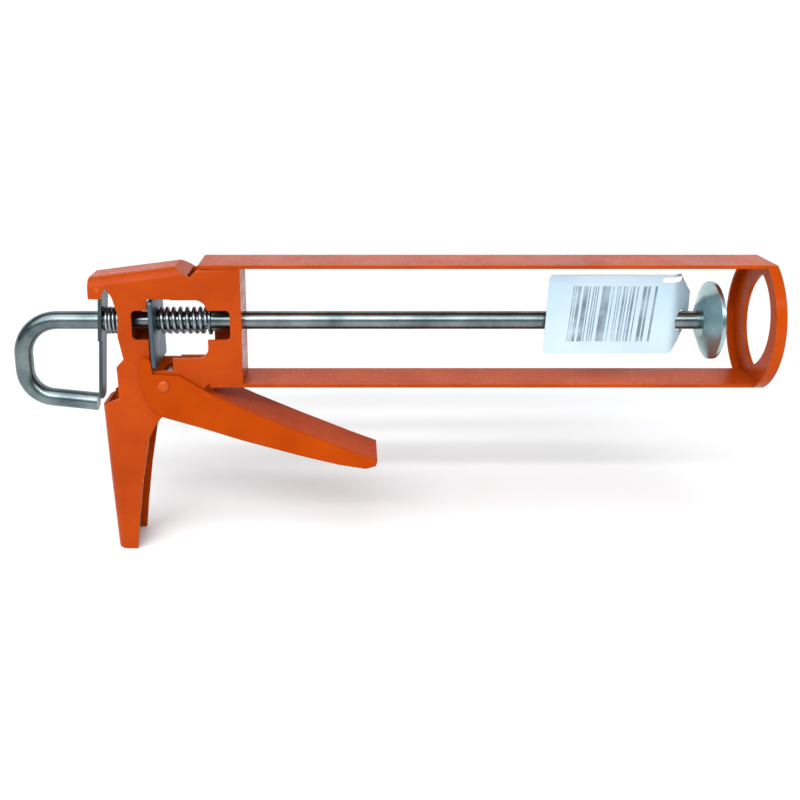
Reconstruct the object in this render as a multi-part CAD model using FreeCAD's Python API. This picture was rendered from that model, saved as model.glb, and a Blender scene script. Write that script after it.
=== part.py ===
import FreeCAD, Part
import math
import os

# Skeleton caulking gun for 310 ml cartridges, millimetres.
# +X runs along the push rod towards the nozzle, +Z is up and +Y is to the gun's left.
# The origin is on the push rod's axis, in the plane of the handle's front edge,
# where the rear rim of the cartridge rests.

# Driving dimensions
BODY_WIDTH = 22.0
SHEET = 1.5
ROD_D = 8.0
CRADLE_LENGTH = 224.8
CRADLE_TOP_Z = 25.4
CRADLE_BOTTOM_Z = -26.0
TOP_STRAP_REAR_X = -17.5
BOTTOM_STRAP_REAR_X = -15.0
STRAP_CORNER_R = 1.5

# Nozzle ring
RING_HALF_WIDTH = 26.5
RING_RIM_DEPTH = 3.0
EYE_HALF_WIDTH = 13.5
EYE_HALF_HEIGHT = 21.0

# Trigger
PIVOT_X = -34.3
PIVOT_Z = -26.4
PIVOT_R = 1.9
PIVOT_PLAY = 0.06
PIVOT_HEAD_R = 2.8
PIVOT_HEAD_RISE = 1.1
TRIGGER_PLAY = 0.3
TRIGGER_SHEET = 1.3
NOSE_X = -7.6
NOSE_Z = 10.4
NOSE_R = 2.5
SPACER_R = 3.4
RIVET_HEAD_PLAY = 0.15
TRIGGER_FOLD_R = 1.0

# Drive plate and its spring
PLATE_X = -38.4
PLATE_T = 2.0
PLATE_LEAN = 1.0
PLATE_TOP_Z = 11.6
PLATE_BOTTOM_Z = -19.0
PLATE_WING = 1.7
PLATE_HOLE_R = 4.7
PLATE_CORNER_R = 2.0
PLATE_EDGE_R = 0.5
SPRING_COIL_R = 5.2
SPRING_WIRE_R = 0.9
SPRING_TURNS = 7.5
SPRING_REAR_GAP = 0.1
SPRING_FRONT_GAP = 0.05
BUSH_REAR_X = -14.0
BUSH_R = 4.9
BUSH_FLANGE_R = 6.4
BUSH_FLANGE_T = 1.0
RUNNING_PLAY = 0.08

# Catch
CATCH_X = -60.7
CATCH_T = 1.5
CATCH_LEAN = 4.0
CATCH_PIN_Z = 16.4
CATCH_PIN_R = 1.25
CATCH_KNUCKLE_R = 2.1
CATCH_SHOULDER_Z = -8.0
CATCH_TIP_Z = -36.0
CATCH_TONGUE = 8.0
CATCH_WIDTH = 12.4
CATCH_HOLE_R = 4.7
CATCH_TIP_R = 2.5
GUIDE_X = -50.5
GUIDE_HALF_HEIGHT = 12.0
GUIDE_HOLE_R = 4.4
CATCH_COIL_R = 5.6
CATCH_WIRE_R = 0.5
CATCH_TURNS = 3.5

# Rod, hook and piston
HOOK_REAR_X = -98.0
HOOK_UPPER_R = 16.0
HOOK_LOWER_R = 13.0
HOOK_LOWER_BEND_Z = -22.9
HOOK_LEG_SLOPE = 6.2
HOOK_END_X = -66.3
PISTON_X = 199.0
SPIGOT_R = 3.0
SPIGOT_LENGTH = 5.9
PISTON_R = 17.0
PISTON_HUB_R = 7.5
PISTON_DISH = 4.5
PISTON_LIP = 1.6
PISTON_T = 1.5
WASHER_R = 6.5
WASHER_T = 1.0
NUT_FLATS = 10.0
NUT_T = 3.2
PISTON_FACE_STEP = 0.6

# Swing tag
TAG_REAR_X = 130.5
TAG_BEND_X = 184.0
TAG_FRONT_X = 197.5
TAG_Y = -6.2
TAG_T = 0.5
TAG_BACK_Y = 8.5
TAG_LOW_Z = -13.4
TAG_HIGH_Z = 21.7
TAG_CHAMFER_X = 9.0
TAG_CHAMFER_Z = 11.0
TAG_HOLE_R = 4.5
TAG_SLOPE_STEP = 3.0
TAG_SLOT_REAR_X = 180.5
TAG_SLOT_FRONT_X = 189.5
TAG_SLOT_DROP = 1.2
TAG_SLOT_HEIGHT = 2.4
# The bent end's path, as steps from the bend and back from the front edge
TAG_BEND_STEP = (3.0, 1.6)
TAG_END_STEP = (5.0, 3.4)

# Openings through the cheeks; the left cheek's window reaches lower than the right's
WINDOW_REAR_X = -33.2
WINDOW_FRONT_X = -14.5
WINDOW_TOP_Z = 11.8
WINDOW_LOW_Z = -14.3
FAR_WINDOW_LOW_Z = -19.4
WINDOW_CORNER_R = 5.0
ROD_SLOT_REAR_X = -47.0
ROD_SLOT_FRONT_X = -4.8
ROD_SLOT_TOP_Z = 7.2
ROD_SLOT_LOW_Z = -6.0
ROD_SLOT_CORNER_R = 2.0
PLATE_SLOT_REAR_X = -40.0
PLATE_SLOT_FRONT_X = -30.0
PLATE_SLOT_TOP_Z = 12.1
PLATE_SLOT_LOW_Z = -20.0

# How far a cutting shape runs past the faces it opens
PAST = 1.0

ROD_R = ROD_D / 2
HALF = BODY_WIDTH / 2
INNER = HALF - SHEET
RING_FRONT_X = CRADLE_LENGTH + SHEET
TRIGGER_INNER = HALF + TRIGGER_PLAY
TRIGGER_OUTER = TRIGGER_INNER + TRIGGER_SHEET
SPACER_PLAY = 0.1

# Side outline of the handle, in X and Z
CHEEK = [
    (-64.7, 12.2), (-64.7, 20.9), (-28.0, 25.7), (-21.6, 21.6), (-17.5, CRADLE_TOP_Z),
    (0.0, CRADLE_TOP_Z), (0.0, CRADLE_BOTTOM_Z), (-15.2, CRADLE_BOTTOM_Z), (-18.0, -29.0),
    (-35.5, -40.5), (-39.6, -46.0), (-42.5, -52.0), (-46.2, -72.0), (-49.0, -92.0),
    (-50.6, -105.4), (-59.7, -105.4), (-61.2, -72.0), (-62.4, -36.5), (-60.3, -35.0),
    (-54.4, -33.0), (-54.4, -24.5), (-54.6, -18.2), (-51.3, -14.6), (-53.2, -4.4),
    (-52.5, 5.4), (-54.6, 13.0), (-57.2, 17.0), (-58.5, 15.0), (-59.3, 12.2),
]
# Side outline of the hollow between the cheeks, carried past every open side
HOLLOW = [
    (-63.2, 8.0), (-63.2, 19.6), (-28.4, 24.1), (-22.4, 20.3), (-22.4, 40.0), (5.0, 40.0),
    (5.0, -110.0), (-58.1, -110.0), (-58.2, -105.4), (-59.7, -72.0), (-60.9, -36.5),
    (-75.0, -36.5), (-75.0, 8.0),
]
ROOF_BEND = [(-64.7, 20.9), (-28.0, 25.7)]
ROOF_BEND_INSIDE = [(-63.2, 19.6), (-28.4, 24.1)]
GRIP_BEND = [(-59.7, -105.4), (-61.2, -72.0), (-62.4, -36.5)]
GRIP_BEND_INSIDE = [(-58.2, -105.4), (-59.7, -72.0), (-60.9, -36.5)]
BEND_R = 5.0
BEND_INSIDE_R = 3.0

# Side outline of the trigger's walls, in X and Z
TRIGGER_TOP = [(-13.6, -30.5), (4.0, -38.9), (22.3, -46.9), (47.4, -57.4), (58.7, -61.8)]
TRIGGER_LOW = [
    (58.0, -64.0), (53.6, -65.3), (42.0, -63.4), (24.3, -58.9), (-0.7, -51.7),
    (-19.5, -45.5), (-35.5, -40.7),
]
# Pivot ear behind the lever, then its top edge in front of the nose
TRIGGER_EAR = [(-41.0, -35.5), (-44.0, -27.5)]
TRIGGER_EAR_TOP = [(-38.9, -21.0), (-27.0, -21.9)]


def vec(x, y, z):
    return FreeCAD.Vector(x, y, z)


def box(x0, x1, y0, y1, z0, z1):
    return Part.makeBox(x1 - x0, y1 - y0, z1 - z0, vec(x0, y0, z0))


def rod_x(radius, x0, x1, y=0.0, z=0.0):
    return Part.makeCylinder(radius, x1 - x0, vec(x0, y, z), vec(1, 0, 0))


def rod_y(radius, y0, y1, x, z):
    return Part.makeCylinder(radius, y1 - y0, vec(x, y0, z), vec(0, 1, 0))


def side_slab(points, y0, y1):
    """A flat outline in X and Z, made solid from y0 to y1."""
    corners = [vec(x, y0, z) for x, z in points]
    face = Part.Face(Part.makePolygon(corners + corners[:1]))
    return face.extrude(vec(0, y1 - y0, 0))


def offset_path(points, distance):
    """The same open path moved sideways, to its right-hand side."""
    moved = []
    for i, (x, z) in enumerate(points):
        x0, z0 = points[max(i - 1, 0)]
        x1, z1 = points[min(i + 1, len(points) - 1)]
        length = math.hypot(x1 - x0, z1 - z0)
        moved.append((x + distance * (z1 - z0) / length, z - distance * (x1 - x0) / length))
    return moved


def sheet_along(points, thickness, y0, y1):
    """A bent sheet that follows an open path in X and Z."""
    return side_slab(points + offset_path(points, thickness)[::-1], y0, y1)


def coil_x(coil_r, wire_r, turns, x0, x1):
    """A round-wire compression spring along X between x0 and x1."""
    height = x1 - x0 - 2 * wire_r
    helix = Part.makeHelix(height / turns, height, coil_r)
    circle = Part.Circle(vec(coil_r, 0, 0), vec(0, 1, 0), wire_r)
    profile = Part.Wire(circle.toShape())
    coil = Part.Wire(helix).makePipeShell([profile], True, True)
    coil.rotate(vec(0, 0, 0), vec(0, 1, 0), 90)
    coil.translate(vec(x0 + wire_r, 0, 0))
    return coil


def cheek_window(y0, y1, low_z):
    """Spring window through one cheek, with its two front corners rounded."""
    window = box(WINDOW_REAR_X, WINDOW_FRONT_X, y0, y1, low_z, WINDOW_TOP_Z)
    corners = [
        e for e in window.Edges
        if e.BoundBox.YLength > HALF and e.BoundBox.XMin > WINDOW_FRONT_X - PAST
    ]
    return window.makeFillet(WINDOW_CORNER_R, corners)


def cheek_cutouts():
    """The openings through both cheeks: spring window, rod slot and drive plate slot."""
    reach = HALF + PAST
    right_window = cheek_window(-reach, 0.0, WINDOW_LOW_Z)
    left_window = cheek_window(0.0, reach, FAR_WINDOW_LOW_Z)
    rod_slot = box(ROD_SLOT_REAR_X, ROD_SLOT_FRONT_X, -reach, reach, ROD_SLOT_LOW_Z, ROD_SLOT_TOP_Z)
    ends = [e for e in rod_slot.Edges if e.BoundBox.YLength > BODY_WIDTH]
    rod_slot = rod_slot.makeFillet(ROD_SLOT_CORNER_R, ends)
    plate_slot = box(PLATE_SLOT_REAR_X, PLATE_SLOT_FRONT_X, -reach, reach,
                     PLATE_SLOT_LOW_Z, PLATE_SLOT_TOP_Z)
    return right_window.fuse([left_window, rod_slot, plate_slot])


def handle_body():
    """One folded sheet: two cheeks, the roof with its rear hood, and the back of the grip."""
    outside = round_folds(side_slab(CHEEK, -HALF, HALF), HALF, BEND_R, [ROOF_BEND, GRIP_BEND])
    hollow = round_folds(side_slab(HOLLOW, -INNER, INNER), INNER, BEND_INSIDE_R,
                         [ROOF_BEND_INSIDE, GRIP_BEND_INSIDE])
    pivot = rod_y(PIVOT_R, -HALF - PAST, HALF + PAST, PIVOT_X, PIVOT_Z)
    pin = rod_y(CATCH_PIN_R, -HALF - PAST, HALF + PAST, CATCH_X, CATCH_PIN_Z)
    return outside.cut(hollow).cut(cheek_cutouts().fuse([pivot, pin]))


def round_folds(block, half, radius, bends):
    """Round the block's side edges that run along the given bends."""
    folds = []
    for edge in block.Edges:
        bounds = edge.BoundBox
        on_side = bounds.YLength < 0.01 and abs(abs(bounds.YMin) - half) < 0.01
        ends = [(v.X, v.Z) for v in edge.Vertexes]
        if on_side and any(all(on_path(p, bend) for p in ends) for bend in bends):
            folds.append(edge)
    return block.makeFillet(radius, folds)


def on_path(point, path):
    return any(math.hypot(point[0] - x, point[1] - z) < 0.01 for x, z in path)


def front_plate():
    plate = box(-SHEET, 0.0, -INNER, INNER, CRADLE_BOTTOM_Z, CRADLE_TOP_Z)
    return plate.cut(rod_x(BUSH_R, -SHEET - PAST, PAST))


def front_bush():
    """Flanged bush that guides the rod and carries the return spring's front end."""
    tube = rod_x(BUSH_R, BUSH_REAR_X, 0.0)
    flange = rod_x(BUSH_FLANGE_R, BUSH_REAR_X - BUSH_FLANGE_T, BUSH_REAR_X)
    bore = rod_x(ROD_R + RUNNING_PLAY, BUSH_REAR_X - BUSH_FLANGE_T - PAST, PAST)
    return tube.fuse(flange).cut(bore).removeSplitter()


def rear_guide():
    plate = box(GUIDE_X, GUIDE_X + SHEET, -INNER, INNER, -GUIDE_HALF_HEIGHT, GUIDE_HALF_HEIGHT)
    return plate.cut(rod_x(GUIDE_HOLE_R, GUIDE_X - PAST, GUIDE_X + SHEET + PAST))


def strap(rear_x, low_z):
    strip = box(rear_x, CRADLE_LENGTH, -HALF, HALF, low_z, low_z + SHEET)
    rear_corners = [
        e for e in strip.Edges
        if e.BoundBox.ZLength > SHEET / 2 and e.BoundBox.XMax < rear_x + 1
    ]
    return strip.makeFillet(STRAP_CORNER_R, rear_corners)


def ring_outline(shrink, x0, x1):
    """The ring's outline in Y and Z: two bowed sides between the strap ends."""
    half = HALF - shrink
    side = RING_HALF_WIDTH - shrink
    top = CRADLE_TOP_Z + SHEET
    low = CRADLE_BOTTOM_Z - SHEET
    edges = [
        Part.makeLine(vec(x0, -half, top), vec(x0, half, top)),
        Part.Arc(vec(x0, half, top), vec(x0, side, 0), vec(x0, half, low)).toShape(),
        Part.makeLine(vec(x0, half, low), vec(x0, -half, low)),
        Part.Arc(vec(x0, -half, low), vec(x0, -side, 0), vec(x0, -half, top)).toShape(),
    ]
    return Part.Face(Part.Wire(edges)).extrude(vec(x1 - x0, 0, 0))


def nozzle_eye(x0, x1):
    """The pointed oval that the cartridge's nozzle passes through."""
    tips = [vec(x0, 0, EYE_HALF_HEIGHT), vec(x0, 0, -EYE_HALF_HEIGHT)]
    edges = [
        Part.Arc(tips[0], vec(x0, EYE_HALF_WIDTH, 0), tips[1]).toShape(),
        Part.Arc(tips[1], vec(x0, -EYE_HALF_WIDTH, 0), tips[0]).toShape(),
    ]
    return Part.Face(Part.Wire(edges)).extrude(vec(x1 - x0, 0, 0))


def nozzle_ring():
    """Pressed front ring with a rearward rim along both bowed sides."""
    face = ring_outline(0.0, CRADLE_LENGTH, RING_FRONT_X)
    rear_x = CRADLE_LENGTH - RING_RIM_DEPTH
    hollow = ring_outline(SHEET, rear_x - PAST, CRADLE_LENGTH)
    strap_space = box(rear_x - PAST, CRADLE_LENGTH, -HALF, HALF,
                      CRADLE_BOTTOM_Z - SHEET - PAST, CRADLE_TOP_Z + SHEET + PAST)
    rim = ring_outline(0.0, rear_x, CRADLE_LENGTH).cut(hollow).cut(strap_space)
    eye = nozzle_eye(CRADLE_LENGTH - PAST, RING_FRONT_X + PAST)
    return face.fuse(rim).cut(eye).removeSplitter()


def trigger_wall(y0, y1):
    """One side of the trigger: lever, pivot ear and the nose that pushes the drive plate's wing."""
    nose = (PIVOT_X + NOSE_X, PIVOT_Z + NOSE_Z)
    nose_neck = [(nose[0] - NOSE_R, nose[1]), (nose[0] + NOSE_R, nose[1])]
    outline = TRIGGER_TOP + TRIGGER_LOW + TRIGGER_EAR + nose_neck + TRIGGER_EAR_TOP
    return side_slab(outline, y0, y1).fuse([rod_y(NOSE_R, y0, y1, *nose)])


def trigger():
    """Channel-section trigger that straddles the handle's cheeks."""
    near = trigger_wall(-TRIGGER_OUTER, -TRIGGER_INNER)
    far = trigger_wall(TRIGGER_INNER, TRIGGER_OUTER)
    web = sheet_along(TRIGGER_TOP, TRIGGER_SHEET, -TRIGGER_OUTER, TRIGGER_OUTER)
    tip = sheet_along([TRIGGER_TOP[-1], TRIGGER_LOW[0], TRIGGER_LOW[1]], TRIGGER_SHEET,
                      -TRIGGER_OUTER, TRIGGER_OUTER)
    lever = near.fuse([far, web, tip]).removeSplitter()
    lever = round_folds(lever, TRIGGER_OUTER, TRIGGER_FOLD_R, [TRIGGER_TOP])
    reach = TRIGGER_OUTER + PAST
    return lever.cut(rod_y(PIVOT_R + PIVOT_PLAY, -reach, reach, PIVOT_X, PIVOT_Z))


def pivot_rivet():
    """Trigger pivot: a shaft through both cheeks with a domed head at each end."""
    reach = TRIGGER_OUTER + RIVET_HEAD_PLAY
    rivet = rod_y(PIVOT_R, -reach, reach, PIVOT_X, PIVOT_Z)
    dome_r = (PIVOT_HEAD_R ** 2 + PIVOT_HEAD_RISE ** 2) / (2 * PIVOT_HEAD_RISE)
    for side in (-1, 1):
        base = side * reach
        ball = Part.makeSphere(dome_r, vec(PIVOT_X, base + side * (PIVOT_HEAD_RISE - dome_r), PIVOT_Z))
        low, high = sorted((base, base + side * PIVOT_HEAD_RISE))
        rivet = rivet.fuse(ball.common(rod_y(PIVOT_HEAD_R, low, high, PIVOT_X, PIVOT_Z)))
    return rivet.removeSplitter()


def pivot_spacer():
    tube = rod_y(SPACER_R, -INNER + SPACER_PLAY, INNER - SPACER_PLAY, PIVOT_X, PIVOT_Z)
    return tube.cut(rod_y(PIVOT_R + SPACER_PLAY, -HALF, HALF, PIVOT_X, PIVOT_Z))


def drive_plate():
    """Leaning plate on the rod; its wings stand out through the cheek slots."""
    half = HALF + PLATE_WING
    plate = box(-PLATE_T / 2, PLATE_T / 2, -half, half, PLATE_BOTTOM_Z, PLATE_TOP_Z)
    ends = [e for e in plate.Edges if e.BoundBox.XLength > PLATE_T / 2]
    plate = plate.makeFillet(PLATE_CORNER_R, ends)
    rims = [e for e in plate.Edges if e.BoundBox.XLength < 0.01]
    plate = plate.makeFillet(PLATE_EDGE_R, rims)
    plate = plate.cut(rod_x(PLATE_HOLE_R, -PLATE_T, PLATE_T))
    plate.rotate(vec(0, 0, 0), vec(0, 1, 0), -PLATE_LEAN)
    plate.translate(vec(PLATE_X, 0, 0))
    return plate


def return_spring():
    lean = math.tan(math.radians(PLATE_LEAN)) * (SPRING_COIL_R + SPRING_WIRE_R)
    rear_x = PLATE_X + PLATE_T / 2 + lean + SPRING_REAR_GAP
    return coil_x(SPRING_COIL_R, SPRING_WIRE_R, SPRING_TURNS, rear_x,
                  BUSH_REAR_X - BUSH_FLANGE_T - SPRING_FRONT_GAP)


def push_rod():
    """Round bar: straight run, hook handle at the rear, spigot for the piston in front."""
    upper_x = HOOK_REAR_X + HOOK_UPPER_R
    lower_x = HOOK_REAR_X + HOOK_LOWER_R
    diagonal = HOOK_UPPER_R * math.sqrt(0.5)
    turn = math.radians(90 - HOOK_LEG_SLOPE)

    def on_lower_bend(angle):
        return vec(lower_x - HOOK_LOWER_R * math.cos(angle), 0,
                   HOOK_LOWER_BEND_Z - HOOK_LOWER_R * math.sin(angle))

    bend_end = on_lower_bend(turn)
    fall = math.tan(math.radians(HOOK_LEG_SLOPE)) * (HOOK_END_X - bend_end.x)
    path = Part.Wire([
        Part.makeLine(vec(PISTON_X, 0, 0), vec(upper_x, 0, 0)),
        Part.Arc(vec(upper_x, 0, 0), vec(upper_x - diagonal, 0, diagonal - HOOK_UPPER_R),
                 vec(HOOK_REAR_X, 0, -HOOK_UPPER_R)).toShape(),
        Part.makeLine(vec(HOOK_REAR_X, 0, -HOOK_UPPER_R), vec(HOOK_REAR_X, 0, HOOK_LOWER_BEND_Z)),
        Part.Arc(vec(HOOK_REAR_X, 0, HOOK_LOWER_BEND_Z), on_lower_bend(turn / 2), bend_end).toShape(),
        Part.makeLine(bend_end, vec(HOOK_END_X, 0, bend_end.z - fall)),
    ])
    profile = Part.Wire(Part.Circle(vec(PISTON_X, 0, 0), vec(1, 0, 0), ROD_R).toShape())
    bar = path.makePipeShell([profile], True, True)
    return bar.fuse(rod_x(SPIGOT_R, PISTON_X, PISTON_X + SPIGOT_LENGTH)).removeSplitter()


def piston_disc():
    """Dished steel disc that pushes the cartridge's plunger."""
    x = PISTON_X
    hole = SPIGOT_R + RUNNING_PLAY
    rim_x = x + PISTON_DISH
    profile = [
        (x, hole), (x, PISTON_HUB_R), (rim_x, PISTON_R), (rim_x + PISTON_LIP, PISTON_R),
        (rim_x + PISTON_LIP, PISTON_R - PISTON_T), (rim_x + PISTON_FACE_STEP, PISTON_R - PISTON_T),
        (x + PISTON_T, PISTON_HUB_R - PISTON_FACE_STEP), (x + PISTON_T, hole),
    ]
    corners = [vec(px, 0, pr) for px, pr in profile]
    face = Part.Face(Part.makePolygon(corners + corners[:1]))
    return face.revolve(vec(0, 0, 0), vec(1, 0, 0), 360)


def piston_washer():
    x = PISTON_X + PISTON_T
    return rod_x(WASHER_R, x, x + WASHER_T).cut(rod_x(SPIGOT_R, x - PAST, x + WASHER_T + PAST))


def piston_nut():
    x = PISTON_X + PISTON_T + WASHER_T
    corner_r = NUT_FLATS / math.sqrt(3)
    angles = [math.radians(60 * i) for i in range(7)]
    corners = [vec(x, corner_r * math.cos(a), corner_r * math.sin(a)) for a in angles]
    nut = Part.Face(Part.makePolygon(corners)).extrude(vec(NUT_T, 0, 0))
    return nut.cut(rod_x(SPIGOT_R, x - PAST, x + NUT_T + PAST))


def catch_plate():
    """Release plate: rolled eye at the top, hole for the rod, thumb tongue below."""
    rear_x = CATCH_X - CATCH_T / 2
    front_x = CATCH_X + CATCH_T / 2
    half = CATCH_WIDTH / 2
    upper = box(rear_x, front_x, -half, half, CATCH_SHOULDER_Z, CATCH_PIN_Z)
    tongue = box(rear_x, front_x, -CATCH_TONGUE / 2, CATCH_TONGUE / 2, CATCH_TIP_Z, CATCH_SHOULDER_Z)
    corners = [
        e for e in tongue.Edges
        if e.BoundBox.XLength > CATCH_T / 2 and e.BoundBox.ZMax < CATCH_TIP_Z + PAST
    ]
    tongue = tongue.makeFillet(CATCH_TIP_R, corners)
    eye = rod_y(CATCH_KNUCKLE_R, -half, half, CATCH_X, CATCH_PIN_Z)
    plate = upper.fuse([tongue, eye]).removeSplitter()
    plate = plate.cut(rod_y(CATCH_PIN_R + PIVOT_PLAY, -HALF, HALF, CATCH_X, CATCH_PIN_Z))
    plate.rotate(vec(CATCH_X, 0, CATCH_PIN_Z), vec(0, 1, 0), CATCH_LEAN)
    return plate.cut(rod_x(CATCH_HOLE_R, CATCH_X - CATCH_HOLE_R, CATCH_X + CATCH_HOLE_R))


def catch_pin():
    return rod_y(CATCH_PIN_R, -HALF, HALF, CATCH_X, CATCH_PIN_Z)


def catch_spring():
    lean = math.tan(math.radians(CATCH_LEAN))
    rear_x = CATCH_X + CATCH_T / 2 - lean * (CATCH_PIN_Z - CATCH_COIL_R - CATCH_WIRE_R) + SPRING_REAR_GAP
    return coil_x(CATCH_COIL_R, CATCH_WIRE_R, CATCH_TURNS, rear_x,
                  GUIDE_X - SPRING_FRONT_GAP)


def swing_tag():
    """Card tag threaded on the rod: flat panel beside the rod, bent end with the hole."""
    path = [
        (TAG_REAR_X, TAG_Y), (TAG_BEND_X, TAG_Y),
        (TAG_BEND_X + TAG_BEND_STEP[0], TAG_Y + TAG_BEND_STEP[1]),
        (TAG_FRONT_X - TAG_END_STEP[0], TAG_BACK_Y - TAG_END_STEP[1]), (TAG_FRONT_X, TAG_BACK_Y),
    ]
    back = [(x, y + TAG_T) for x, y in path]
    corners = [vec(x, y, TAG_LOW_Z) for x, y in path + back[::-1]]
    card = Part.Face(Part.makePolygon(corners + corners[:1])).extrude(vec(0, 0, TAG_HIGH_Z - TAG_LOW_Z))
    slope_x = TAG_FRONT_X - TAG_CHAMFER_X
    outline = side_slab(
        [(TAG_REAR_X, TAG_LOW_Z), (slope_x - TAG_SLOPE_STEP, TAG_LOW_Z),
         (TAG_FRONT_X, TAG_LOW_Z + TAG_CHAMFER_Z), (TAG_FRONT_X, TAG_HIGH_Z - TAG_CHAMFER_Z),
         (slope_x, TAG_HIGH_Z), (TAG_REAR_X, TAG_HIGH_Z)],
        TAG_Y - PAST, TAG_BACK_Y + TAG_T + PAST)
    slot_top = TAG_HIGH_Z - TAG_SLOT_DROP
    hanger = box(TAG_SLOT_REAR_X, TAG_SLOT_FRONT_X, TAG_Y - PAST, TAG_BACK_Y,
                 slot_top - TAG_SLOT_HEIGHT, slot_top)
    hole = rod_x(TAG_HOLE_R, TAG_BEND_X - PAST, TAG_FRONT_X + PAST)
    return card.common(outline).cut(hole.fuse(hanger))


PARTS = {
    "handle_body": handle_body,
    "front_plate": front_plate,
    "front_bush": front_bush,
    "rear_guide": rear_guide,
    "top_strap": lambda: strap(TOP_STRAP_REAR_X, CRADLE_TOP_Z),
    "bottom_strap": lambda: strap(BOTTOM_STRAP_REAR_X, CRADLE_BOTTOM_Z - SHEET),
    "nozzle_ring": nozzle_ring,
    "trigger": trigger,
    "pivot_rivet": pivot_rivet,
    "pivot_spacer": pivot_spacer,
    "drive_plate": drive_plate,
    "return_spring": return_spring,
    "push_rod": push_rod,
    "piston_disc": piston_disc,
    "piston_washer": piston_washer,
    "piston_nut": piston_nut,
    "catch_plate": catch_plate,
    "catch_pin": catch_pin,
    "catch_spring": catch_spring,
    "swing_tag": swing_tag,
}

os.makedirs("parts", exist_ok=True)
for name, make in PARTS.items():
    shape = make()
    shape.exportStep(f"parts/{name}.step")
    print(name, len(shape.Solids), round(shape.Volume, 1), shape.isValid())
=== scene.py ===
import math

import bmesh
import bpy
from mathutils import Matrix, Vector


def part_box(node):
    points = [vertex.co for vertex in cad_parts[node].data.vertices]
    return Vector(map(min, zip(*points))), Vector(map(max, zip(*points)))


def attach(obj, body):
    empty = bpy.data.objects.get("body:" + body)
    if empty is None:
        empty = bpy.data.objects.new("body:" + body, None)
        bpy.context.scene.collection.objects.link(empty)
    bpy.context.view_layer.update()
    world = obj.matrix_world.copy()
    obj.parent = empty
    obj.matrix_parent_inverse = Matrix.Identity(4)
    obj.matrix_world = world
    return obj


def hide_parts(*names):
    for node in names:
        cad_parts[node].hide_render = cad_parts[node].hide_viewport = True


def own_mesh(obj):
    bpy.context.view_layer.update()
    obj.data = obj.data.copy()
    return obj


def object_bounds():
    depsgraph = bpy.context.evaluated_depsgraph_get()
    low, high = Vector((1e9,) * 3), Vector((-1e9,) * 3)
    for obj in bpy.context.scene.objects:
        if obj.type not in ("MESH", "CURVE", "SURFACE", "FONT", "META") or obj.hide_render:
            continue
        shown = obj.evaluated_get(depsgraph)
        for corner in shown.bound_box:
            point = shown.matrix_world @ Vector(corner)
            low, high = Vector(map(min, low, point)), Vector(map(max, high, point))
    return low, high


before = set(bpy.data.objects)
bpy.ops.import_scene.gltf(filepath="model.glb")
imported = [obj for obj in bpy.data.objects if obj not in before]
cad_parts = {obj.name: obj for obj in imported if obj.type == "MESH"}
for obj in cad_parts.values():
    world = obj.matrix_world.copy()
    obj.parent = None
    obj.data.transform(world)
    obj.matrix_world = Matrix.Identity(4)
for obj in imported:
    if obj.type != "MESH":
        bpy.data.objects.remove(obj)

CAD_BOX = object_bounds()
MM = 0.001

# Camera: a close view from above the cradle, looking down at the push rod
CAMERA_DISTANCE = 0.420
CAMERA_ELEVATION = math.radians(16.0)
CAMERA_X = 0.0465
CAMERA_LENS = 43.1
CAMERA_SHIFT = (1 / 16, -1 / 10)

# Lights: a very soft sun, a thin strip that draws the highlight along the rod, dim sky
SUN_FROM = (-0.30, -0.60, 0.74)
SUN_STRENGTH = 2.8
SUN_SPREAD = 65.0
STRIP_SPOT = (0.10, -0.55, 0.42)
STRIP_TARGET = (0.08, 0.0, 0.0)
STRIP_SIZE = (0.9, 0.035)
STRIP_POWER = 2.8
SKY_COLOUR = (0.90, 0.94, 1.0, 1.0)
SKY_STRENGTH = 0.22

# Backdrop: floor from in front of the object to the bend, then the wall
FLOOR_FRONT_Y = -4.0
FLOOR_BACK_Y = 1.3
WALL_BEND = 0.8
WALL_HEIGHT = 4.0
BACKDROP_HALF_WIDTH = 6.0
FLOOR_GAP = 0.5 * MM

# Card tag
TAG_THICKNESS = 0.5 * MM
TAG_STEPS = 56
TAG_BEND_SHARE = 0.80
TAG_CURL = 0.35 * MM
TAG_CHAMFER_LENGTH = 9 * MM
TAG_CHAMFER_STEP = 3 * MM
TAG_CHAMFER_HEIGHT = 12 * MM
TAG_CORNER = 1.2 * MM
TAG_SKEW = 1.2 * MM
TAG_HOLE_R = 4.55 * MM
TAG_SLOT_X = 185.0 * MM
TAG_SLOT_R = 1.2 * MM
TAG_SLOT_HALF_RUN = 3.6 * MM
TAG_SLOT_DROP = 2.4 * MM

# Block of bars on the card
BARS_X = (141.0 * MM, 177.0 * MM)
BARS_Z = (-8.0 * MM, 16.7 * MM)
BAR_CELL = 0.5 * MM
BAR_LEAN = -0.08
BAR_SHARE = 0.46

# Springs
COIL_STEPS_PER_TURN = 40
COIL_SIDES = 12
COIL_EVEN_SHARE = 0.80

# Enamel colours
ORANGE = (0.44, 0.056, 0.0018)
ORANGE_DEEP = (0.35, 0.040, 0.0013)
ORANGE_RIVET = (0.50, 0.075, 0.004)
ORANGE_THIN = (0.66, 0.12, 0.02)
CHIP_BROWN = (0.17, 0.07, 0.035)
ORANGE_DUST = (0.50, 0.24, 0.12)

# Plated steel: each finish has a light and a dark colour
SCRATCH_GREY = (0.62, 0.68, 0.70)
ZINC = (0.31, 0.37, 0.38), (0.07, 0.105, 0.11)
# Drive and catch plates: dark steel, darkened further as painted shade for the shade they sit in inside
# the handle
DRIVE_STEEL_WITH_SHADE = (0.12, 0.17, 0.21), (0.05, 0.075, 0.10)
CATCH_STEEL_WITH_SHADE = (0.11, 0.13, 0.15), (0.045, 0.06, 0.07)
SPRING_WIRE = (0.52, 0.58, 0.60), (0.22, 0.27, 0.29)
PRESSED_ZINC = (0.52, 0.68, 0.69), (0.24, 0.36, 0.37)

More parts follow.
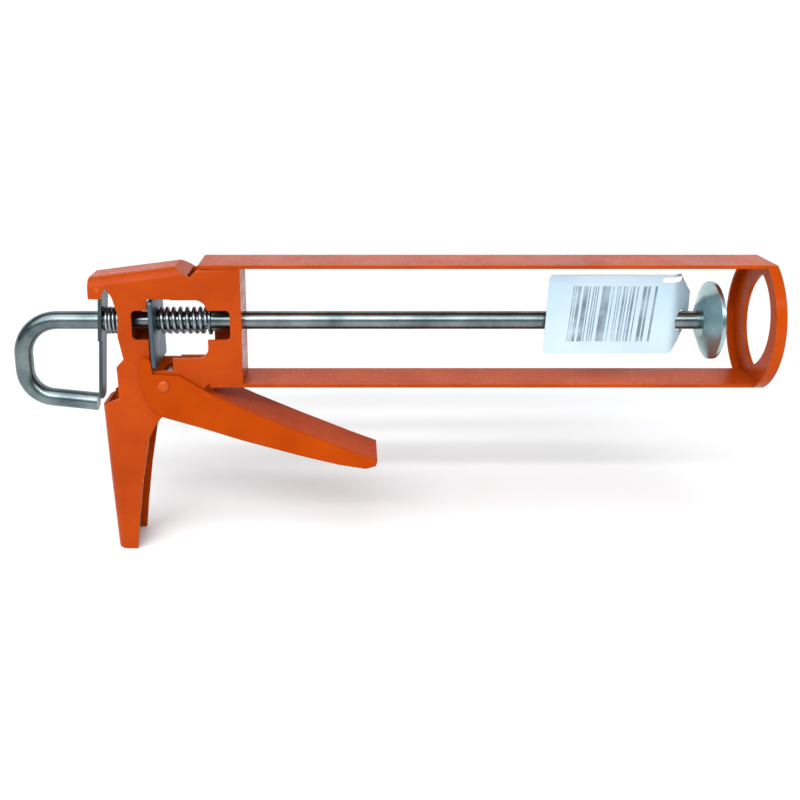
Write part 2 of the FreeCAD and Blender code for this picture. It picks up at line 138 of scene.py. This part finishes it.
# Card colours
CARD = (0.40, 0.53, 0.62), (0.50, 0.62, 0.70)
CARD_SMUDGE = (0.34, 0.42, 0.48)
CARD_INK = (0.07, 0.10, 0.13)


# ---------------------------------------------------------------- materials

class Nodes:
    """A new material with short calls for adding and joining its nodes."""

    def __init__(self, name):
        self.material = bpy.data.materials.new(name)
        self.material.use_nodes = True
        self.tree = self.material.node_tree
        self.shader = self.tree.nodes["Principled BSDF"]

    def add(self, kind, **settings):
        node = self.tree.nodes.new("ShaderNode" + kind)
        for key, value in settings.items():
            if key in node.inputs:
                node.inputs[key].default_value = value
            else:
                setattr(node, key, value)
        return node

    def join(self, source, target):
        self.tree.links.new(source, target)

    def coords(self, scale=(1, 1, 1)):
        place = self.add("TexCoord")
        mapping = self.add("Mapping", Scale=scale)
        self.join(place.outputs["Object"], mapping.inputs["Vector"])
        return mapping.outputs["Vector"]

    def noise(self, scale, detail=4.0, roughness=0.55, stretch=(1, 1, 1)):
        node = self.add("TexNoise", Scale=scale, Detail=detail, Roughness=roughness)
        self.join(self.coords(stretch), node.inputs["Vector"])
        return node.outputs["Fac"]

    def ramp(self, source, low, high, low_value=0.0, high_value=1.0):
        node = self.add("MapRange")
        node.inputs["From Min"].default_value = low
        node.inputs["From Max"].default_value = high
        node.inputs["To Min"].default_value = low_value
        node.inputs["To Max"].default_value = high_value
        self.join(source, node.inputs["Value"])
        return node.outputs["Result"]

    def math(self, operation, first, second):
        node = self.add("Math", operation=operation)
        for socket, value in zip(node.inputs, (first, second)):
            if isinstance(value, (int, float)):
                socket.default_value = value
            else:
                self.join(value, socket)
        return node.outputs[0]

    def mix(self, factor, first, second):
        node = self.add("Mix", data_type="RGBA")
        if isinstance(factor, (int, float)):
            node.inputs["Factor"].default_value = factor
        else:
            self.join(factor, node.inputs["Factor"])
        for socket, value in ((node.inputs[6], first), (node.inputs[7], second)):
            if isinstance(value, tuple):
                socket.default_value = (*value, 1.0)
            else:
                self.join(value, socket)
        return node.outputs[2]

    def edge_mask(self, radius, low, high):
        """1 along worn outer edges, 0 on flat faces."""
        bevel = self.add("Bevel", samples=4, Radius=radius)
        geometry = self.add("NewGeometry")
        dot = self.add("VectorMath", operation="DOT_PRODUCT")
        self.join(bevel.outputs["Normal"], dot.inputs[0])
        self.join(geometry.outputs["Normal"], dot.inputs[1])
        return self.ramp(dot.outputs["Value"], low, high, 1.0, 0.0)

    def bump(self, height, strength, distance, radius):
        node = self.add("Bump", Strength=strength, Distance=distance)
        self.join(height, node.inputs["Height"])
        bevel = self.add("Bevel", samples=4, Radius=radius)
        self.join(bevel.outputs["Normal"], node.inputs["Normal"])
        self.join(node.outputs["Normal"], self.shader.inputs["Normal"])


def orange_paint(name, base, deep, scuffs, specular):
    """Dipped enamel: paler and chipped along edges, orange peel, dust and fine smears."""
    m = Nodes(name)
    cloud = m.ramp(m.noise(38.0), 0.35, 0.7)
    coat = m.mix(cloud, deep, base)
    edge = m.edge_mask(0.5 * MM, 0.90, 0.995)
    thin = m.math("MULTIPLY", edge, m.ramp(m.noise(420.0), 0.40, 0.62))
    coat = m.mix(m.math("MULTIPLY", thin, 0.35), coat, ORANGE_THIN)
    chipped = m.math("MULTIPLY", edge, m.ramp(m.noise(160.0, 6.0), 0.66 - scuffs, 0.70 - scuffs))
    coat = m.mix(chipped, coat, CHIP_BROWN)
    dust = m.ramp(m.noise(900.0, 2.0), 0.70, 0.78)
    coat = m.mix(m.math("MULTIPLY", dust, 0.07), coat, ORANGE_DUST)
    m.join(coat, m.shader.inputs["Base Color"])
    smear = m.ramp(m.noise(55.0, 6.0, stretch=(1, 1, 3)), 0.3, 0.75, 0.20, 0.38)
    m.join(m.math("ADD", smear, m.math("MULTIPLY", chipped, 0.3)), m.shader.inputs["Roughness"])
    m.shader.inputs["Specular IOR Level"].default_value = specular
    peel = m.math("ADD", m.noise(520.0, 2.0), m.math("MULTIPLY", m.noise(70.0, 2.0), 2.0))
    m.bump(peel, 0.22, 0.12 * MM, 0.45 * MM)
    return m.material


def plated_steel(name, colours, roughness, grain, grain_scale=260.0):
    """Zinc-plated steel: cool grey with drawn streaks, dull bloom and fine scratches."""
    light, dark = colours
    m = Nodes(name)
    bloom = m.ramp(m.noise(60.0, 5.0), 0.3, 0.7)
    streak = m.ramp(m.noise(grain_scale, 4.0, stretch=grain), 0.3, 0.7)
    tone = m.mix(m.math("MULTIPLY", bloom, 0.8), dark, light)
    tone = m.mix(m.math("MULTIPLY", streak, 0.35), tone, dark)
    scratch = m.ramp(m.noise(grain_scale * 3.0, 2.0, stretch=grain), 0.70, 0.76)
    tone = m.mix(m.math("MULTIPLY", scratch, 0.4), tone, SCRATCH_GREY)
    m.join(tone, m.shader.inputs["Base Color"])
    m.shader.inputs["Metallic"].default_value = 1.0
    m.join(m.ramp(streak, 0.0, 1.0, roughness, roughness + 0.14), m.shader.inputs["Roughness"])
    m.bump(m.math("ADD", streak, m.math("MULTIPLY", scratch, 0.6)), 0.25, 0.05 * MM, 0.3 * MM)
    return m.material


def inside(m, value, limits):
    """1 where the value lies between the two limits, 0 elsewhere."""
    return m.math("MULTIPLY", m.math("GREATER_THAN", value, limits[0]),
                  m.math("LESS_THAN", value, limits[1]))


def tag_card(name):
    """Coated white card with a block of plain upright bars and faint handling marks."""
    m = Nodes(name)
    place = m.add("TexCoord")
    split = m.add("SeparateXYZ")
    m.join(place.outputs["Object"], split.inputs["Vector"])
    x = split.outputs["X"]
    z = split.outputs["Z"]
    leaning_x = m.math("ADD", x, m.math("MULTIPLY", z, BAR_LEAN))
    cell = m.math("FLOOR", m.math("DIVIDE", leaning_x, BAR_CELL), 0.0)
    hashed = m.add("TexWhiteNoise", noise_dimensions="1D")
    m.join(cell, hashed.inputs["W"])
    bar = m.math("GREATER_THAN", hashed.outputs["Value"], BAR_SHARE)
    block = m.math("MULTIPLY", inside(m, leaning_x, BARS_X), inside(m, z, BARS_Z))
    ink = m.math("MULTIPLY", bar, block)
    worn = m.ramp(m.noise(120.0, 5.0), 0.30, 0.62, 0.35, 0.85)
    paper = m.mix(m.ramp(m.noise(40.0, 4.0), 0.3, 0.7), *CARD)
    smudge = m.math("MULTIPLY", m.ramp(m.noise(300.0), 0.62, 0.72), 0.2)
    paper = m.mix(smudge, paper, CARD_SMUDGE)
    printed = m.mix(m.math("MULTIPLY", ink, worn), paper, CARD_INK)
    m.join(printed, m.shader.inputs["Base Color"])
    m.join(m.ramp(m.noise(90.0), 0.3, 0.7, 0.28, 0.5), m.shader.inputs["Roughness"])
    m.bump(m.noise(1400.0, 3.0), 0.15, 0.05 * MM, 0.1 * MM)
    return m.material


def floor_paper():
    """Matt near-white paper with a faint unevenness."""
    m = Nodes("floor_paper")
    white = m.mix(m.noise(9.0), (0.90, 0.90, 0.90), (0.94, 0.94, 0.94))
    m.join(white, m.shader.inputs["Base Color"])
    m.shader.inputs["Roughness"].default_value = 0.9
    return m.material


# ---------------------------------------------------------------- mesh helpers

def link_object(name, data):
    made = bpy.data.objects.new(name, data)
    bpy.context.collection.objects.link(made)
    return made


def mesh_object(name, bm, material=None):
    mesh = bpy.data.meshes.new(name)
    bm.to_mesh(mesh)
    bm.free()
    piece = link_object(name, mesh)
    if material:
        piece.data.materials.append(material)
    return piece


def circle(count):
    return [(math.cos(math.tau * i / count), math.sin(math.tau * i / count)) for i in range(count)]


def bridge(bm, first, second):
    """Faces between two rings of vertices."""
    for k in range(len(first)):
        j = (k + 1) % len(first)
        bm.faces.new((first[k], first[j], second[j], second[k]))


def prism(name, outline, axis, low, high):
    """A closed cutting solid: a flat outline in two axes, drawn out along the third."""
    bm = bmesh.new()
    rings = []
    for level in (low, high):
        ring = []
        for a, b in outline:
            spot = {"X": (level, a, b), "Y": (a, level, b), "Z": (a, b, level)}[axis]
            ring.append(bm.verts.new(spot))
        rings.append(ring)
    bm.faces.new(rings[0])
    bm.faces.new(rings[1][::-1])
    bridge(bm, rings[0], rings[1])
    bmesh.ops.recalc_face_normals(bm, faces=bm.faces)
    return mesh_object(name, bm)


def cut(piece, cutter, operation):
    """Apply one boolean and remove the cutter."""
    change = piece.modifiers.new("cut", "BOOLEAN")
    change.operation = operation
    change.solver = "EXACT"
    change.object = cutter
    apply_modifiers(piece)
    bpy.data.objects.remove(cutter)


def apply_modifiers(piece):
    bpy.context.view_layer.update()
    evaluated = piece.evaluated_get(bpy.context.evaluated_depsgraph_get())
    final = bpy.data.meshes.new_from_object(evaluated)
    piece.modifiers.clear()
    piece.data = final


def smooth_by_angle(piece, degrees):
    """Smooth shading, with the edges over this angle kept sharp."""
    limit = math.radians(degrees)
    bm = bmesh.new()
    bm.from_mesh(piece.data)
    for face in bm.faces:
        face.smooth = True
    for edge in bm.edges:
        edge.smooth = len(edge.link_faces) == 2 and edge.calc_face_angle(0.0) < limit
    bm.to_mesh(piece.data)
    bm.free()


# ---------------------------------------------------------------- pieces

def swing_tag(material):
    """The card tag: gently curled panel that bends back so that the rod passes its hole."""
    low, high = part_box("swing_tag")
    thick = TAG_THICKNESS
    front = low[1]
    back = high[1] - thick
    x0, x1 = low[0], high[0]
    bend_start = x0 + TAG_BEND_SHARE * (x1 - x0)
    bm = bmesh.new()
    columns = []
    for i in range(TAG_STEPS + 1):
        x = x0 + (x1 - x0) * i / TAG_STEPS
        t = min(max((x - bend_start) / (x1 - bend_start), 0.0), 1.0)
        rise = t * t * (3.0 - 2.0 * t) * 0.55 + t * 0.45 * t
        along = min((x - x0) / (bend_start - x0), 1.0)
        curl = TAG_CURL * math.sin(math.pi * along)
        y = front + curl + (back - front) * rise
        columns.append([bm.verts.new((x, y + dy, z)) for dy, z in
                        ((0, low[2]), (0, high[2]), (thick, high[2]), (thick, low[2]))])
    for a, b in zip(columns, columns[1:]):
        bridge(bm, a, b)
    bm.faces.new(columns[0][::-1])
    bm.faces.new(columns[-1])
    bmesh.ops.recalc_face_normals(bm, faces=bm.faces)
    card = mesh_object("tag_card_piece", bm, material)

    chamfer_x = x1 - TAG_CHAMFER_LENGTH
    top_x = x0 + TAG_SKEW
    outline = [
        (x0 + TAG_CORNER, low[2]), (chamfer_x - TAG_CHAMFER_STEP, low[2]),
        (x1 + MM, low[2] + TAG_CHAMFER_HEIGHT), (x1 + MM, high[2] - TAG_CHAMFER_HEIGHT),
        (chamfer_x, high[2]), (top_x + TAG_CORNER, high[2]),
        (top_x, high[2] - TAG_CORNER), (x0, low[2] + TAG_CORNER),
    ]
    cut(card, prism("tag_outline", outline, "Y", low[1] - MM, high[1] + MM), "INTERSECT")
    hole = [(TAG_HOLE_R * c, TAG_HOLE_R * s) for c, s in circle(40)]
    cut(card, prism("tag_hole", hole, "X", bend_start - 4 * MM, x1 + 2 * MM), "DIFFERENCE")
    slot_z = high[2] - TAG_SLOT_DROP
    slot = [(TAG_SLOT_X + TAG_SLOT_R * c + math.copysign(TAG_SLOT_HALF_RUN, c), slot_z + TAG_SLOT_R * s)
            for c, s in circle(24)]
    cut(card, prism("tag_slot", slot, "Y", low[1] - MM, high[1] + MM), "DIFFERENCE")
    smooth_by_angle(card, 35)
    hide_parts("swing_tag")
    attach(card, "tag")


def coil_spring(name, node, wire, turns, material):
    """A wound spring with closed end turns."""
    low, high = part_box(node)
    winding = (high[1] - low[1]) / 2 - wire
    run = high[0] - low[0] - 2 * wire
    steps = int(turns * COIL_STEPS_PER_TURN)
    bm = bmesh.new()
    rings = []
    for i in range(steps + 1):
        t = i / steps
        closed = 0.5 - 0.5 * math.cos(math.pi * t)
        x = low[0] + wire + run * (COIL_EVEN_SHARE * t + (1.0 - COIL_EVEN_SHARE) * closed)
        angle = math.tau * turns * t
        ring = []
        for c, s in circle(COIL_SIDES):
            reach = winding + wire * c
            ring.append(bm.verts.new(
                (x + wire * s, reach * math.cos(angle), reach * math.sin(angle))))
        rings.append(ring)
    for a, b in zip(rings, rings[1:]):
        bridge(bm, a, b)
    bm.faces.new(rings[0])
    bm.faces.new(rings[-1])
    bmesh.ops.recalc_face_normals(bm, faces=bm.faces)
    spring = mesh_object(name, bm, material)
    smooth_by_angle(spring, 50)
    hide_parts(node)
    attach(spring, "frame")
    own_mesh(spring)


# ---------------------------------------------------------------- stage

def backdrop(z):
    """Pale paper: flat floor that curves up into a wall behind the object."""
    profile = [(FLOOR_FRONT_Y, 0.0), (FLOOR_BACK_Y, 0.0)]
    profile += [(FLOOR_BACK_Y + WALL_BEND * math.sin(a), WALL_BEND - WALL_BEND * math.cos(a))
                for a in (math.radians(4.5 * i) for i in range(1, 21))]
    profile.append((FLOOR_BACK_Y + WALL_BEND, WALL_HEIGHT))
    bm = bmesh.new()
    rows = [[bm.verts.new((x, y, z + up)) for x in (-BACKDROP_HALF_WIDTH, BACKDROP_HALF_WIDTH)]
            for y, up in profile]
    for low, high in zip(rows, rows[1:]):
        face = bm.faces.new((low[0], low[1], high[1], high[0]))
        face.smooth = True
    sheet = mesh_object("backdrop", bm, floor_paper())


def sun_light(name, spot, strength, spread):
    light = bpy.data.lights.new(name, "SUN")
    light.energy = strength
    light.angle = math.radians(spread)
    lamp = link_object(name, light)
    lamp.location = spot
    lamp.rotation_euler = Vector(spot).to_track_quat("Z", "Y").to_euler()


def area_light(name, spot, target, size, energy):
    light = bpy.data.lights.new(name, "AREA")
    light.shape = "RECTANGLE"
    light.size, light.size_y = size
    light.energy = energy
    lamp = link_object(name, light)
    lamp.location = spot
    lamp.rotation_euler = (Vector(target) - Vector(spot)).to_track_quat("-Z", "Y").to_euler()


def lights():
    sun_light("soft_key", SUN_FROM, SUN_STRENGTH, SUN_SPREAD)
    area_light("rod_strip", STRIP_SPOT, STRIP_TARGET, STRIP_SIZE, STRIP_POWER)
    world = bpy.data.worlds.new("studio")
    bpy.context.scene.world = world
    world.use_nodes = True
    background = world.node_tree.nodes["Background"]
    background.inputs["Color"].default_value = SKY_COLOUR
    background.inputs["Strength"].default_value = SKY_STRENGTH


def camera():
    lens = bpy.data.cameras.new("camera")
    lens.lens = CAMERA_LENS
    lens.sensor_width = 36.0
    lens.clip_start = 0.01
    lens.shift_x, lens.shift_y = CAMERA_SHIFT
    view = link_object("camera", lens)
    view.location = (
        CAMERA_X, -CAMERA_DISTANCE * math.cos(CAMERA_ELEVATION),
        CAMERA_DISTANCE * math.sin(CAMERA_ELEVATION))
    view.rotation_euler = (math.pi / 2 - CAMERA_ELEVATION, 0.0, 0.0)
    bpy.context.scene.camera = view


# ---------------------------------------------------------------- build

def finish_nodes():
    """Give every carried-over node its material, and wind the two springs."""
    paint = orange_paint("orange_enamel", ORANGE, ORANGE_DEEP, 0.0, 0.08)
    lever_paint = orange_paint("lever_enamel", ORANGE, ORANGE_DEEP, 0.01, 0.02)
    strap_paint = orange_paint("strap_enamel", ORANGE, ORANGE_DEEP, 0.03, 0.06)
    rivet_paint = orange_paint("rivet_enamel", ORANGE_RIVET, ORANGE, 0.06, 0.20)
    along_rod = (0.04, 1, 1)
    upright = (1, 1, 0.08)
    zinc = plated_steel("bright_zinc", ZINC, 0.19, along_rod)
    # drive and catch plates: dark steel, darkened further as painted shade inside the handle
    drive_with_shade = plated_steel("drive_zinc_with_painted_shade", DRIVE_STEEL_WITH_SHADE, 0.36, upright)
    catch_with_shade = plated_steel("catch_zinc_with_painted_shade", CATCH_STEEL_WITH_SHADE, 0.30, upright)
    wire = plated_steel("drawn_wire", SPRING_WIRE, 0.24, (1, 1, 1), 700.0)
    disc = plated_steel("pressed_zinc", PRESSED_ZINC, 0.22, (1, 0.5, 0.5), 120.0)
    finishes = {
        "handle_body": paint, "front_plate": paint, "rear_guide": paint, "trigger": lever_paint,
        "top_strap": strap_paint, "bottom_strap": strap_paint, "nozzle_ring": strap_paint,
        "pivot_rivet": rivet_paint, "catch_pin": rivet_paint,
        "front_bush": zinc, "pivot_spacer": zinc, "push_rod": zinc,
        "piston_washer": zinc, "piston_nut": zinc, "piston_disc": disc,
        "drive_plate": drive_with_shade, "catch_plate": catch_with_shade,
    }
    for name, material in finishes.items():
        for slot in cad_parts[name].material_slots:
            slot.material = material
    coil_spring("return_coil", "return_spring", 0.9 * MM, 7.5, wire)
    coil_spring("catch_coil", "catch_spring", 0.65 * MM, 5.5, wire)


finish_nodes()
swing_tag(tag_card("printed_card"))
backdrop(CAD_BOX[0][2] - FLOOR_GAP)
lights()
camera()
bpy.context.scene.view_settings.view_transform = "Standard"
